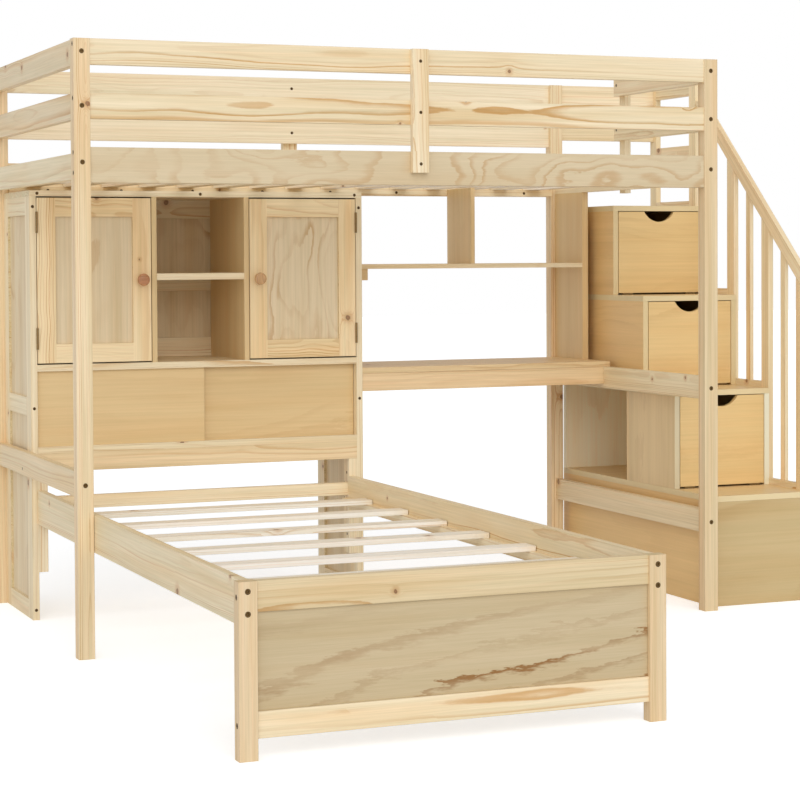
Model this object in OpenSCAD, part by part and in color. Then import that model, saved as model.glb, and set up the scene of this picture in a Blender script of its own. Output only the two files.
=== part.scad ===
// Loft bed over a cabinet and a desk, with a lower bed that runs forward from the cabinet
// and a box staircase with a guard at the right end.
// Millimetres. The floor is z = 0, the front is towards -Y, and the long side runs along X.

/* [Loft frame] */
// Outside length of the loft
loft_l = 1988; // [1930:4:2080]
// Outside depth of the loft
loft_d = 1084; // [1060:2:1120]
// Height of the loft posts
loft_h = 1678; // [1650:2:1740]
// Width of a loft post seen from the front
post_w = 45; // [40:1:50]
// Depth of a loft post seen from the side
post_d = 38; // [34:1:44]
// Thickness of the guard rails and end rails
rail_t = 22; // [18:1:25]
// Height of the guard rails and end rails
rail_h = 70; // [62:1:74]
// Open height between the two guard rails
guard_gap = 76; // [66:1:82]
// Height of the boards round the mattress
board_h = 96; // [88:1:106]
// Height of the guard, from the underside of the mattress boards to the top
guard_h = 388; // [370:2:410]
// Depth that the long rails sit back from the post faces
rail_recess = 3; // [1:1:5]
// Distance of the end rails from the posts' inner edges
end_room = 16; // [12:1:20]
// Height of the end boards' lower edge above the long boards' one
end_board_lift = 10; // [6:1:20]
// Height of the end boards' bolts above their lower edge
end_board_bolt = 45; // [35:1:50]
// Height of the low end rail on the left
low_left_z = 437; // [400:2:470]
// Height of the low end rail on the right
low_right_z = 237; // [200:2:300]
// Width of the stiles that tie the long guard rails together
guard_stile_w = 50; // [40:1:60]
// Thickness of those stiles
guard_stile_t = 18; // [15:1:22]
// Shift of the front stile to the right of the loft's middle
stile_shift = 11; // [0:1:30]
// Shift of the back stile to the left of the front one
back_stile_shift = 10; // [0:2:40]
// Height of the stiles' lower end above the board's lower edge
stile_lift = 35; // [20:1:50]
// Depth of the short end rails at the entry, from the front post
entry_rail_l = 573; // [520:1:600]
// Width of the stile that ends the entry rails
entry_stile_w = 34; // [28:1:44]

/* [Loft slats] */
// Height of the battens that carry the slats
batten_h = 22; // [18:1:26]
// Depth of the front batten
batten_d = 25; // [20:1:32]
// Width of a slat
slat_w = 50; // [44:1:70]
// Thickness of a slat
slat_t = 14; // [11:1:18]
// Number of slats
slat_count = 15; // [13:1:17]
// Space at each end of a slat
slat_gap = 3; // [1:1:6]
// Space between the outer slats and the posts
slat_margin = 52; // [40:1:80]

/* [Cabinet] */
// Outside width of the cabinet
cab_w = 1065; // [1030:1:1090]
// Depth of the cabinet
cab_d = 363; // [340:1:390]
// Thickness of the cabinet's side frames
side_t = 20; // [18:1:24]
// Width of the side frames' stiles
side_stile_w = 60; // [50:1:70]
// Height of the side frames' rails
side_rail_h = 56; // [46:1:66]
// Height of the middle rail's centre
side_mid_z = 640; // [610:2:680]
// Thickness of the plywood panels
ply_t = 5; // [4:0.5:8]
// Thickness of the cabinet top
cab_top_t = 18; // [15:1:22]
// Depth of the top's front strip
top_strip_d = 22; // [18:1:30]
// Thickness of the long shelves
shelf_t = 16; // [14:1:18]
// Height of the top of the shelf under the doors
mid_shelf_z = 767; // [757:1:775]
// Height of the top of the shelf under the sliding doors
low_shelf_z = 516; // [506:1:530]
// Width of the open bay between the doors
bay_w = 280; // [240:1:320]
// Thickness of the dividers
divider_t = 16; // [14:1:20]
// Thickness of the shelf in the open bay
bay_shelf_t = 20; // [15:1:22]
// Height of the underside of the shelf in the open bay
bay_shelf_z = 1018; // [990:2:1050]
// Height of the apron under the low shelf
apron_h = 55; // [45:1:65]
// Thickness of the aprons
apron_t = 18; // [15:1:20]
// Thickness of the back frame
back_t = 12; // [10:1:16]
// Width of the back frame's members
back_frame_w = 60; // [50:1:70]

/* [Cabinet doors] */
// Thickness of the doors
door_t = 18; // [16:1:20]
// Width of the door frame's members
door_frame_w = 57; // [48:1:64]
// Gap above and below the doors
door_gap_z = 4; // [2.5:0.5:5]
// Gap on the door's free side
door_gap_x = 2.5; // [1.5:0.5:3]
// Radius of the knob's head
knob_r = 19; // [16:0.5:21]
// Length of the knob in front of the door
knob_l = 28; // [24:1:32]
// Radius of the knob's spigot in the door
spigot_r = 4; // [3:0.5:6]
// Length of a door hinge
hinge_l = 64; // [50:1:76]
// Distance from the door's end to the hinge
hinge_inset = 42; // [36:1:60]

/* [Sliding doors] */
// Thickness of the sliding doors
slide_t = 12; // [10:0.5:13]
// Overlap of the two sliding doors
slide_lap = 23; // [12:1:40]
// Height of the track strips
strip_h = 4; // [3:0.5:5]
// Width of the outer track strips
strip_w = 9.7; // [6:0.1:12]
// Width of the strip between the sliding doors
mid_strip_w = 3.4; // [2.5:0.1:5]

/* [Desk and hutch] */
// Height of the desk top
desk_z = 733; // [715:1:750]
// Thickness of the desk top
desk_t = 18; // [15:1:22]
// Height of the desk apron
desk_apron_h = 57; // [45:1:64]
// Depth that the desk apron sits back from the edge
desk_apron_in = 3; // [1:1:8]
// Depth of the hutch over the desk
hutch_d = 206; // [180:1:240]
// Depth of the underside of the hutch shelf below the mattress boards
hutch_drop = 244; // [210:2:290]
// Thickness of the hutch boards
hutch_t = 15; // [13:1:20]
// Distance of the hutch divider from the cabinet
hutch_split = 450; // [380:2:520]
// Length of the cleat under the hutch shelf
cleat_l = 84; // [60:1:110]
// Height of that cleat
cleat_h = 37; // [28:1:44]
// Thickness of that cleat
cleat_t = 20; // [14:1:24]

/* [Stairs] */
// Gap between the loft and the stairs
stair_gap = 21; // [19:0.5:30]
// Outside width of the stairs
stair_w = 349; // [330:1:380]
// Thickness of the stair panels and treads
panel_t = 18; // [15:1:20]
// Drop from the underside of the mattress boards to the top tread
top_tread_drop = 38; // [20:1:60]
// Rise from the platform to the next tread
low_rise = 313; // [299:1:325]
// Rise of the upper treads
rise = 299; // [290:1:305]
// Going of the treads
going = 205; // [190:1:215]
// Going of the platform
platform_going = 235; // [215:1:250]
// Distance of the top box from the back
top_box_d = 374; // [350:1:390]
// Thickness of the flaps
flap_t = 15; // [12:0.5:17]
// Gap at the sides and the top of a flap
flap_gap = 2; // [1.5:0.5:3]
// Width of the finger cut-out
grip_w = 113; // [90:1:130]
// Depth of the finger cut-out
grip_h = 34; // [26:1:40]
// Length of a flap hinge
flap_hinge_l = 38; // [30:1:50]
// Distance from the flap's side to its hinge
flap_hinge_in = 15; // [8:1:40]
// Width of the closed part of the low box's left side
cubby_front = 301; // [280:1:340]

/* [Stair guard] */
// Thickness of the guard
guard_t = 18; // [15:1:20]
// Width of a guard post
guard_post_w = 42; // [36:1:50]
// Width of a baluster
baluster_w = 26; // [22:1:34]
// Thickness of a baluster
baluster_t = 12; // [10:1:14]
// Height of the guard's rails
guard_rail_h = 44; // [38:1:50]
// Depth that the guard's low rails reach below a tread's top
guard_foot = 24; // [20:1:30]
// Drop from the loft's top to the top of the guard's lower rail
guard_mid_drop = 215; // [190:1:240]
// Setback of the front post from the platform's front
front_post_in = 35; // [20:1:50]
// Setback of the second post from the low box
low_post_in = 4; // [0:1:12]
// Setback of the third post from the middle box
mid_post_in = 13; // [4:1:24]
// Setback of the fourth post from the top box
top_post_in = 60; // [40:1:80]
// Height of the handrail measured straight up
hand_v = 55; // [45:1:64]
// Drop from the loft's top to the upper end of the handrail
hand_drop = 20; // [10:1:40]
// Thickness left where the handrail's upper end is cut level
hand_end_t = 9; // [6:1:20]
// Height of the handrail's low end above the platform
hand_low = 687; // [660:1:710]

/* [Lower bed] */
// Length from the foot to the cabinet's front
bed_l = 1980; // [1930:2:2060]
// Outside width across the foot posts
bed_w = 1046; // [1030:1:1060]
// Height of the lower bed
bed_h = 390; // [375:1:410]
// Width of a foot post
bed_post_w = 43; // [38:1:50]
// Depth of a foot post
bed_post_d = 32; // [28:1:38]
// Thickness of the side rails
bed_rail_t = 20; // [18:1:24]
// Height of the side rails
bed_rail_h = 101; // [90:1:115]
// Distance of the side rails from the posts' inner faces
bed_rail_in = 8; // [4:1:11]
// Height of the foot's top rail
foot_top_h = 68; // [58:1:76]
// Height of the foot's bottom rail
foot_low_h = 59; // [50:1:66]
// Height of the foot's lower edge
foot_z = 47; // [30:1:60]
// Thickness of the foot rails
foot_rail_t = 20; // [16:1:24]
// Thickness of the foot panel
foot_panel_t = 9; // [6:1:12]
// Width of a bed slat
bed_slat_w = 62; // [50:1:80]
// Depth of the top of the bed slats below the side rails' upper edge
slat_drop = 54; // [45:1:64]
// Distance from the foot post to the first bed slat's middle
first_slat = 41; // [36:1:60]
// Distance from the cabinet to the last bed slat's middle
last_slat = 185; // [60:1:220]
// Number of bed slats
bed_slat_count = 7; // [6:1:9]
// Size of the battens under the bed slats
bed_batten = 20; // [16:1:26]
// Width of the head blocks
block_w = 28; // [26:1:34]
// Depth of the head blocks
block_d = 44; // [36:1:56]
// Height of the head blocks' lower end
block_z = 144; // [120:1:170]
// Height of the head rail
head_rail_h = 40; // [34:1:48]
// Depth of the head rail's lower edge below the side rails' upper edge
head_rail_drop = 60; // [52:1:66]
// Shift of the lower bed to the left of the cabinet's middle
bed_shift = 7.5; // [0:0.5:9]

/* [Bolts and screws] */
// Radius of a bolt's shank
bolt_r = 3; // [2.5:0.1:3.5]
// Radius of a bolt's head
bolt_head_r = 6.5; // [5.5:0.1:6.8]
// Thickness of a bolt's head
bolt_head_t = 2.5; // [2:0.1:3]
// Length of a bolt beyond the post
bolt_reach = 50; // [40:1:60]
// Distance of the side bolts below a rail's upper edge
bolt_drop = 15; // [12:1:18]
// Distance between the two side bolts at each end of the long boards
board_bolt_pitch = 55; // [45:1:65]
// Distance of the upper bolt of a bed side rail below the rail's upper edge
face_bolt_drop = 22; // [16:1:28]
// Distance between the two bolts at each end of a bed side rail
face_bolt_pitch = 49; // [40:1:56]
// Height of the foot's upper bolts above the top rail's lower edge
foot_bolt_up = 33; // [26:1:42]
// Radius of a screw's shank
screw_r = 1.9; // [1.6:0.1:2.2]
// Radius of a screw's head
screw_head_r = 4.6; // [4:0.1:5]
// Thickness of a screw's head
screw_head_t = 2; // [1.6:0.1:2.6]
// Radial room round a bolt, a screw or a peg in its hole
fix_gap = 0.1; // [0.05:0.01:0.15]

/* [Hidden] */
$fn = 32;

pine = [0.88, 0.73, 0.50];
pine_warm = [0.84, 0.65, 0.40];
ply = [0.80, 0.69, 0.52];
laminate = [0.86, 0.68, 0.43];
knob_brown = [0.55, 0.33, 0.17];
dark_metal = [0.25, 0.20, 0.16];
steel = [0.45, 0.45, 0.46];

run_gap = 0.3;
glue_gap = 0.1;
bolt_sink = 0.4;
socket_depth = 1.2;
socket_r = 2.8;
screw_sink = 0.3;

end_x1 = post_w - end_room;
end_x0 = end_x1 - rail_t;
right_x0 = loft_l - end_x1;
right_x1 = loft_l - end_x0;
left_cx = post_w / 2;
right_cx = loft_l - post_w / 2;
front_y0 = rail_recess;
front_y1 = front_y0 + rail_t;
back_y1 = loft_d - rail_recess;
back_y0 = back_y1 - rail_t;
front_cy = front_y0 + rail_t / 2;
deck_z = loft_h - guard_h;
back_cy = back_y0 + rail_t / 2;
inner_y0 = post_d;
inner_y1 = loft_d - post_d;

top_z0 = loft_h - rail_h;
mid_z1 = top_z0 - guard_gap;
mid_z0 = mid_z1 - rail_h;
board_z1 = deck_z + board_h;
batten_z1 = deck_z + batten_h;
back_batten_y = back_y0 - batten_d;
end_board_z0 = deck_z + end_board_lift;
end_board_z1 = end_board_z0 + rail_h;
entry_y = inner_y0 + entry_rail_l;
stile_cx = loft_l / 2 + stile_shift;
stile_cx_back = stile_cx - back_stile_shift;
out_y0 = front_y0 - guard_stile_t;
out_y1 = back_y1 + guard_stile_t;

cab_x0 = end_x1;
cab_x1 = cab_x0 + cab_w;
cab_in0 = cab_x0 + side_t;
cab_in1 = cab_x1 - side_t;
cab_y1 = inner_y1;
cab_y0 = cab_y1 - cab_d;
cab_z1 = deck_z - cab_top_t;
back_y = cab_y1 - back_t;
mid_shelf_z0 = mid_shelf_z - shelf_t;
low_shelf_z0 = low_shelf_z - shelf_t;
apron_z0 = low_shelf_z0 - apron_h;
door_bay_w = (cab_in1 - cab_in0 - bay_w - 2 * divider_t) / 2;
div_x = [cab_in0 + door_bay_w, cab_in1 - door_bay_w - divider_t];

hinge_gap = 2;
knuckle_r = 3.5;
leaf_t = 0.9;
leaf_d = 28;
hinge_pin_r = 1.5;
pin_gap = 0.05;
knuckle_gap = 0.2;
door_z0 = mid_shelf_z + door_gap_z;
door_z1 = cab_z1 - door_gap_z;
door_w = door_bay_w - hinge_gap - door_gap_x;
left_door_x0 = cab_in0 + hinge_gap;
right_door_x1 = cab_in1 - hinge_gap;
hinge_ax = cab_in0 + hinge_gap / 2;
hinge_ax_r = cab_in1 - hinge_gap / 2;
hinge_ay = cab_y0 - knuckle_r - run_gap;
hinge_zs = [door_z0 + hinge_inset, door_z1 - hinge_inset - hinge_l];
knob_z = (door_z0 + door_z1) / 2;
spigot_l = door_t * 0.55;

track_y = [
  cab_y0,
  cab_y0 + strip_w + slide_t + 2 * run_gap,
  cab_y0 + strip_w + 2 * slide_t + 4 * run_gap + mid_strip_w
];
track_w = [strip_w, mid_strip_w, strip_w];
slide_y = [track_y[0] + strip_w + run_gap, track_y[1] + mid_strip_w + run_gap];
slide_edge = 1;
slide_w = (cab_in1 - cab_in0 - 2 * slide_edge + slide_lap) / 2;
slide_z0 = low_shelf_z + run_gap;
lift_gap = 1.3;
slide_z1 = mid_shelf_z0 - lift_gap;

desk_z0 = desk_z - desk_t;
desk_rail_z0 = desk_z0 - rail_h;
hutch_y0 = inner_y1 - hutch_d;
hutch_shelf_z = deck_z - hutch_drop;
hutch_split_x = cab_x1 + hutch_split;

stair_x0 = loft_l + stair_gap;
stair_x1 = stair_x0 + stair_w;
stair_in0 = stair_x0 + panel_t;
stair_in1 = stair_x1 - panel_t;
stair_y1 = loft_d;
top_front = stair_y1 - top_box_d;
step_y = [top_front - 2 * going - platform_going, top_front - 2 * going, top_front - going, top_front];
platform_z = deck_z - top_tread_drop - low_rise - 2 * rise;
tread_z = [platform_z, platform_z + low_rise, platform_z + low_rise + rise,
  platform_z + low_rise + 2 * rise];
cubby_y = step_y[1] + cubby_front;
flap_x0 = stair_in0 + flap_gap;
flap_x1 = stair_in1 - flap_gap;
flap_knuckle_r = 2.5;
flap_pin_r = 1.25;
flap_leaf_t = 1.2;
flap_leaf_d = 12;
flap_axis_in = 1;
flap_axis_z = 3.2;
flap_bottom = flap_axis_z + 3;
grip_r = (grip_w * grip_w / 4 + grip_h * grip_h) / (2 * grip_h);

guard_x0 = stair_x1;
guard_x1 = guard_x0 + guard_t;
back_post_y = stair_y1 - guard_post_w;
post_y = [step_y[0] + front_post_in, step_y[1] + low_post_in, step_y[2] + mid_post_in,
  step_y[3] + top_post_in];
foot_z0 = [for (z = tread_z) z - guard_foot];
hand_y0 = post_y[0];
hand_y1 = post_y[3];
hand_z0 = platform_z + hand_low;
hand_z1 = loft_h - hand_drop;
hand_slope = (hand_z1 - hand_z0) / (hand_y1 - hand_y0);
level_z = hand_z1 - hand_v + hand_end_t;
level_y = hand_y0 + (level_z - hand_z0) / hand_slope;
peg_r = 4;
peg_l = 18;

bed_y0 = cab_y0 - bed_l;
bed_y1 = bed_y0 + bed_post_d;
bed_x0 = cab_x0 + (cab_w - bed_w) / 2 - bed_shift;
bed_x1 = bed_x0 + bed_w;
bed_in0 = bed_x0 + bed_post_w;
bed_in1 = bed_x1 - bed_post_w;
bed_rail_x = [bed_in0 - bed_rail_in - bed_rail_t, bed_in1 + bed_rail_in];
bed_rail_z = bed_h - bed_rail_h;
bed_rail_in0 = bed_rail_x[0] + bed_rail_t;
bed_rail_in1 = bed_rail_x[1];
bed_cx = [bed_x0 + bed_post_w / 2, bed_x1 - bed_post_w / 2];
foot_cy = bed_y0 + bed_post_d / 2;
foot_low_z1 = foot_z + foot_low_h;
foot_top_z = bed_h - foot_top_h;
bed_slat_z = bed_h - slat_drop;
bed_batten_z = bed_slat_z - slat_t;
first_slat_y = bed_y1 + first_slat;
last_slat_y = cab_y0 - last_slat;
head_rail_z = bed_h - head_rail_drop;
block_y1 = cab_y0 + block_d;
face_bolt_z = [bed_h - face_bolt_drop, bed_h - face_bolt_drop - face_bolt_pitch];
foot_bolt_z = [foot_top_z + foot_bolt_up, foot_z + foot_low_h / 2];

mid_x = guard_x1 / 2;
mid_y = (bed_y0 + out_y1) / 2;

end_zs = [loft_h - rail_h / 2, mid_z0 + rail_h / 2, end_board_z0 + end_board_bolt];
low_left_c = low_left_z + rail_h / 2;
low_right_c = low_right_z + rail_h / 2;
desk_rail_c = desk_rail_z0 + rail_h / 2;
side_zs = [loft_h - bolt_drop, mid_z1 - bolt_drop, board_z1 - bolt_drop,
  board_z1 - bolt_drop - board_bolt_pitch];
end_bolts = concat(
  [for (z = concat(end_zs, low_left_c)) [left_cx, 0, z, "back", post_d + bolt_reach]],
  [for (z = concat(end_zs, low_left_c)) [left_cx, loft_d, z, "front", post_d + bolt_reach]],
  [for (z = concat(end_zs, desk_rail_c, low_right_c)) [right_cx, 0, z, "back", post_d + bolt_reach]],
  [for (z = [end_zs[2], desk_rail_c, low_right_c]) [right_cx, loft_d, z, "front", post_d + bolt_reach]]
);
side_bolts = concat(
  [for (z = side_zs, y = [front_cy, back_cy]) [0, y, z, "right", post_w + bolt_reach]],
  [for (z = side_zs, y = [front_cy, back_cy]) [loft_l, y, z, "left", post_w + bolt_reach]]
);
bed_face_bolts = concat(
  [for (x = bed_cx, z = face_bolt_z) [x, bed_y0, z, "back", bed_post_d + bolt_reach]],
  [for (x = bed_rail_x, z = face_bolt_z) [x + bed_rail_t / 2, block_y1, z, "front", block_d + bolt_reach]]
);
foot_bolts = concat(
  [for (z = foot_bolt_z) [bed_x0, foot_cy, z, "right", bed_post_w + bolt_reach]],
  [for (z = foot_bolt_z) [bed_x1, foot_cy, z, "left", bed_post_w + bolt_reach]]
);

stile_screw_up = 60;
stile_zs = [end_zs[0], end_zs[1], deck_z + stile_screw_up];
screw_rest = 4;
batten_screw_rest = 6;
front_stile_screws = [for (z = stile_zs) [stile_cx, out_y0, z, "back",
  guard_stile_t + rail_t - screw_rest]];
back_stile_screws = [for (z = stile_zs) [stile_cx_back, back_y0, z, "back",
  guard_stile_t + rail_t - screw_rest]];
entry_screws = [for (z = end_zs) [right_x0, entry_y - entry_stile_w / 2, z, "right",
  2 * rail_t - screw_rest]];
batten_screw_z = deck_z + batten_h / 2;
batten_screws = 8;
batten_screw_x0 = post_w + 123;
batten_screw_x1 = loft_l - post_w - 109;
batten_xs = [for (i = [0 : batten_screws - 1])
  batten_screw_x0 + i * (batten_screw_x1 - batten_screw_x0) / (batten_screws - 1)];
front_batten_screws = [for (x = batten_xs) [x, front_y1 + batten_d, batten_screw_z, "front",
  batten_d + rail_t - batten_screw_rest]];
back_batten_screws = [for (x = batten_xs) [x, back_batten_y, batten_screw_z, "back",
  batten_d + rail_t - batten_screw_rest]];
side_zs_cab = [cab_z1 - side_rail_h / 2 - 3, side_mid_z - 4, side_rail_h / 2 + 2];
tenon_screw = 20;
cab_cx = [cab_x0 + side_t / 2, cab_x1 - side_t / 2];
side_screws = concat(
  [for (x = cab_cx, z = side_zs_cab) [x, cab_y0, z, "back", side_stile_w + tenon_screw]],
  [for (x = cab_cx, z = side_zs_cab) [x, cab_y1, z, "front", side_stile_w + tenon_screw]]
);
top_screw_in = 24;
top_screws = [for (x = [cab_x0 + top_screw_in, (cab_x0 + cab_x1) / 2, cab_x1 - top_screw_in])
  [x, cab_y0, cab_z1 + cab_top_t / 2, "back", top_strip_d + 30]];
low_rail_screw = [[end_x0, cab_y0 + side_stile_w / 2, low_left_z + 18, "right",
  rail_t + side_t - screw_rest]];
block_zs = [block_z + 60, apron_z0 - 45];
block_screw_in = 20;
block_screws = concat(
  [for (z = block_zs) [cab_in0 + block_w, cab_y0 + block_screw_in, z, "left",
    block_w + side_t - screw_rest]],
  [for (z = block_zs) [cab_in1 - block_w, cab_y0 + block_screw_in, z, "right",
    block_w + side_t - screw_rest]]
);
pc = guard_post_w / 2;
guard_screw_in = 60;
guard_screws = concat(
  [for (i = [1 : 3], z = [tread_z[i - 1] + guard_screw_in, tread_z[i] - guard_screw_in])
    [guard_x1, post_y[i] + pc, z, "left", guard_t + panel_t - screw_rest]],
  [for (y = [post_y[0] + pc, post_y[1] + pc])
    [guard_x1, y, tread_z[0] - panel_t / 2, "left", guard_t + 30]],
  [[guard_x1, back_post_y + pc, tread_z[3] - panel_t / 2, "left", guard_t + 30]],
  [for (z = [loft_h - rail_h / 2, mid_z1 - guard_rail_h / 2]) [guard_x1, back_cy, z, "left", guard_t + 40]]
);

// A square-edged board between two corners
module board(x0, x1, y0, y1, z0, z1) {
  translate([x0, y0, z0]) cube([x1 - x0, y1 - y0, z1 - z0]);
}

// One sub-part in its colour, moved so that the origin lies under the middle of the whole
module piece(tone) {
  color(tone) translate([-mid_x, -mid_y, 0]) children();
}

// Turns what runs up +Z so that it runs in a level direction
module aim(way) {
  turn = way == "back" ? [-90, 0, 0] : way == "front" ? [90, 0, 0] :
    way == "right" ? [0, 90, 0] : [0, -90, 0];
  rotate(turn) children();
}

module bolt_bore(f) {
  head_end = bolt_sink + bolt_head_t;
  translate([f[0], f[1], f[2]]) aim(f[3]) translate([0, 0, -1])
    cylinder(h = 1 + head_end, r = bolt_head_r + fix_gap);
  translate([f[0], f[1], f[2]]) aim(f[3]) cylinder(h = f[4] + 1, r = bolt_r + fix_gap);
}

module screw_bore(f) {
  head_end = screw_sink + screw_head_t;
  translate([f[0], f[1], f[2]]) aim(f[3]) translate([0, 0, -1])
    cylinder(h = 1 + head_end, r = screw_head_r + fix_gap);
  translate([f[0], f[1], f[2]]) aim(f[3]) cylinder(h = f[4] + 0.5, r = screw_r + fix_gap);
}

module bolted(list) {
  difference() {
    children();
    for (f = list) bolt_bore(f);
  }
}

module screwed(list) {
  difference() {
    children();
    for (f = list) screw_bore(f);
  }
}

module bolt(long) {
  difference() {
    union() {
      translate([0, 0, bolt_sink]) cylinder(h = bolt_head_t, r = bolt_head_r);
      translate([0, 0, bolt_sink]) cylinder(h = long - bolt_sink, r = bolt_r);
    }
    translate([0, 0, -1]) cylinder(h = 1 + bolt_sink + socket_depth, r = socket_r, $fn = 6);
  }
}

module screw(long) {
  translate([0, 0, screw_sink]) cylinder(h = screw_head_t, r = screw_head_r);
  translate([0, 0, screw_sink]) cylinder(h = long - screw_sink, r = screw_r);
}

module loft_posts() {
  piece(pine) bolted(concat(end_bolts, side_bolts)) difference() {
    for (x = [0, loft_l - post_w], y = [0, loft_d - post_d]) board(x, x + post_w, y, y + post_d, 0, loft_h);
    for (z = back_peg_z) translate([loft_l - peg_l - 0.5, back_cy, z]) aim("right")
      cylinder(h = peg_l + 2, r = peg_r + fix_gap);
  }
}

back_peg_z = [top_z0 + 26, mid_z1 - guard_rail_h + 12];

module guard_rails_front() {
  piece(pine) screwed(front_stile_screws) bolted(side_bolts) {
    board(post_w, loft_l - post_w, front_y0, front_y1, top_z0, loft_h);
    board(post_w, loft_l - post_w, front_y0, front_y1, mid_z0, mid_z1);
  }
}

module side_board_front() {
  piece(ply) screwed(concat(front_stile_screws, front_batten_screws)) bolted(side_bolts)
    board(post_w, loft_l - post_w, front_y0, front_y1, deck_z, board_z1);
}

module guard_rails_back() {
  piece(pine) screwed(back_stile_screws) bolted(side_bolts) {
    board(post_w, loft_l - post_w, back_y0, back_y1, top_z0, loft_h);
    board(post_w, loft_l - post_w, back_y0, back_y1, mid_z0, mid_z1);
  }
}

module side_board_back() {
  piece(pine) screwed(concat(back_stile_screws, back_batten_screws)) bolted(side_bolts)
    board(post_w, loft_l - post_w, back_y0, back_y1, deck_z, board_z1);
}

module guard_stiles() {
  half = guard_stile_w / 2;
  piece(pine) screwed(concat(front_stile_screws, back_stile_screws)) {
    board(stile_cx - half, stile_cx + half, out_y0, front_y0, deck_z + stile_lift, loft_h);
    board(stile_cx_back - half, stile_cx_back + half, back_y1, out_y1, deck_z + stile_lift, loft_h);
  }
}

module end_rails_left() {
  piece(pine) bolted(end_bolts) {
    board(end_x0, end_x1, inner_y0, inner_y1, top_z0, loft_h);
    board(end_x0, end_x1, inner_y0, inner_y1, mid_z0, mid_z1);
  }
}

module end_rails_right() {
  piece(pine) screwed(entry_screws) bolted(end_bolts) {
    board(right_x0, right_x1, inner_y0, entry_y, top_z0, loft_h);
    board(right_x0, right_x1, inner_y0, entry_y, mid_z0, mid_z1);
  }
}

module end_boards() {
  piece(pine) screwed(entry_screws) bolted(end_bolts) {
    board(end_x0, end_x1, inner_y0, inner_y1, end_board_z0, end_board_z1);
    board(right_x0, right_x1, inner_y0, inner_y1, end_board_z0, end_board_z1);
  }
}

module end_stile_right() {
  piece(pine) screwed(entry_screws)
    board(right_x1, right_x1 + rail_t, entry_y - entry_stile_w, entry_y, deck_z, loft_h);
}

module low_rails() {
  piece(pine) screwed(low_rail_screw) bolted(end_bolts) {
    board(end_x0, end_x1, inner_y0, inner_y1, low_left_z, low_left_z + rail_h);
    board(right_x0, right_x1, inner_y0, inner_y1, low_right_z, low_right_z + rail_h);
  }
}

module desk_rail() {
  piece(pine) bolted(end_bolts) board(right_x0, right_x1, inner_y0, inner_y1, desk_rail_z0, desk_z0);
}

module slat_battens() {
  piece(pine_warm) screwed(concat(front_batten_screws, back_batten_screws)) {
    board(post_w, loft_l - post_w, front_y1, front_y1 + batten_d, deck_z, batten_z1);
    board(post_w, loft_l - post_w, back_batten_y, back_y0, deck_z, batten_z1);
    board(bed_rail_in0, bed_rail_in0 + bed_batten, bed_y1, cab_y0, bed_batten_z - bed_batten, bed_batten_z);
    board(bed_rail_in1 - bed_batten, bed_rail_in1, bed_y1, cab_y0, bed_batten_z - bed_batten, bed_batten_z);
  }
}

module loft_slats() {
  x_first = post_w + slat_margin;
  x_step = (loft_l - 2 * x_first - slat_w) / (slat_count - 1);
  piece(pine) for (i = [0 : slat_count - 1])
    board(x_first + i * x_step, x_first + i * x_step + slat_w, front_y1 + slat_gap, back_y0 - slat_gap,
      batten_z1, batten_z1 + slat_t);
}

module cabinet_sides() {
  mid0 = side_mid_z - side_rail_h / 2;
  piece(pine) screwed(concat(side_screws, low_rail_screw, block_screws)) for (x = [cab_x0, cab_in1]) {
    board(x, x + side_t, cab_y0, cab_y0 + side_stile_w, 0, cab_z1);
    board(x, x + side_t, cab_y1 - side_stile_w, cab_y1, 0, cab_z1);
    for (z = [0, mid0, cab_z1 - side_rail_h])
      board(x, x + side_t, cab_y0 + side_stile_w + glue_gap, cab_y1 - side_stile_w - glue_gap, z,
        z + side_rail_h);
  }
}

module cabinet_side_panels() {
  mid0 = side_mid_z - side_rail_h / 2;
  piece(ply) for (x = [cab_x0, cab_in1]) {
    x0 = x + (side_t - ply_t) / 2;
    board(x0, x0 + ply_t, cab_y0 + side_stile_w, cab_y1 - side_stile_w, side_rail_h, mid0);
    board(x0, x0 + ply_t, cab_y0 + side_stile_w, cab_y1 - side_stile_w, mid0 + side_rail_h,
      cab_z1 - side_rail_h);
  }
}

module cabinet_top() {
  piece(pine) screwed(top_screws) {
    board(cab_x0, cab_x1, cab_y0, cab_y0 + top_strip_d, cab_z1, deck_z);
    board(cab_x0, cab_x1, cab_y0 + top_strip_d + glue_gap, cab_y1, cab_z1, deck_z);
  }
}

module cabinet_shelves() {
  piece(pine) {
    board(cab_in0, cab_in1, cab_y0, back_y, mid_shelf_z0, mid_shelf_z);
    board(cab_in0, cab_in1, cab_y0, back_y, low_shelf_z0, low_shelf_z);
  }
}

module cabinet_apron() {
  piece(pine) board(cab_in0, cab_in1, cab_y0, cab_y0 + apron_t, apron_z0, low_shelf_z0);
}

module cabinet_dividers() {
  piece(pine) for (x = div_x) board(x, x + divider_t, cab_y0, back_y, mid_shelf_z, cab_z1);
}

module bay_shelf() {
  piece(pine) board(div_x[0] + divider_t, div_x[1], cab_y0, back_y, bay_shelf_z, bay_shelf_z + bay_shelf_t);
}

back_rail_z = [low_shelf_z0, mid_shelf_z, bay_shelf_z + bay_shelf_t - back_frame_w, cab_z1 - back_frame_w];

module cabinet_back_frame() {
  piece(pine) {
    board(cab_in0, cab_in0 + back_frame_w, back_y, cab_y1, low_shelf_z0, cab_z1);
    board(cab_in1 - back_frame_w, cab_in1, back_y, cab_y1, low_shelf_z0, cab_z1);
    for (z = back_rail_z)
      board(cab_in0 + back_frame_w + glue_gap, cab_in1 - back_frame_w - glue_gap, back_y, cab_y1, z,
        z + back_frame_w);
  }
}

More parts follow.
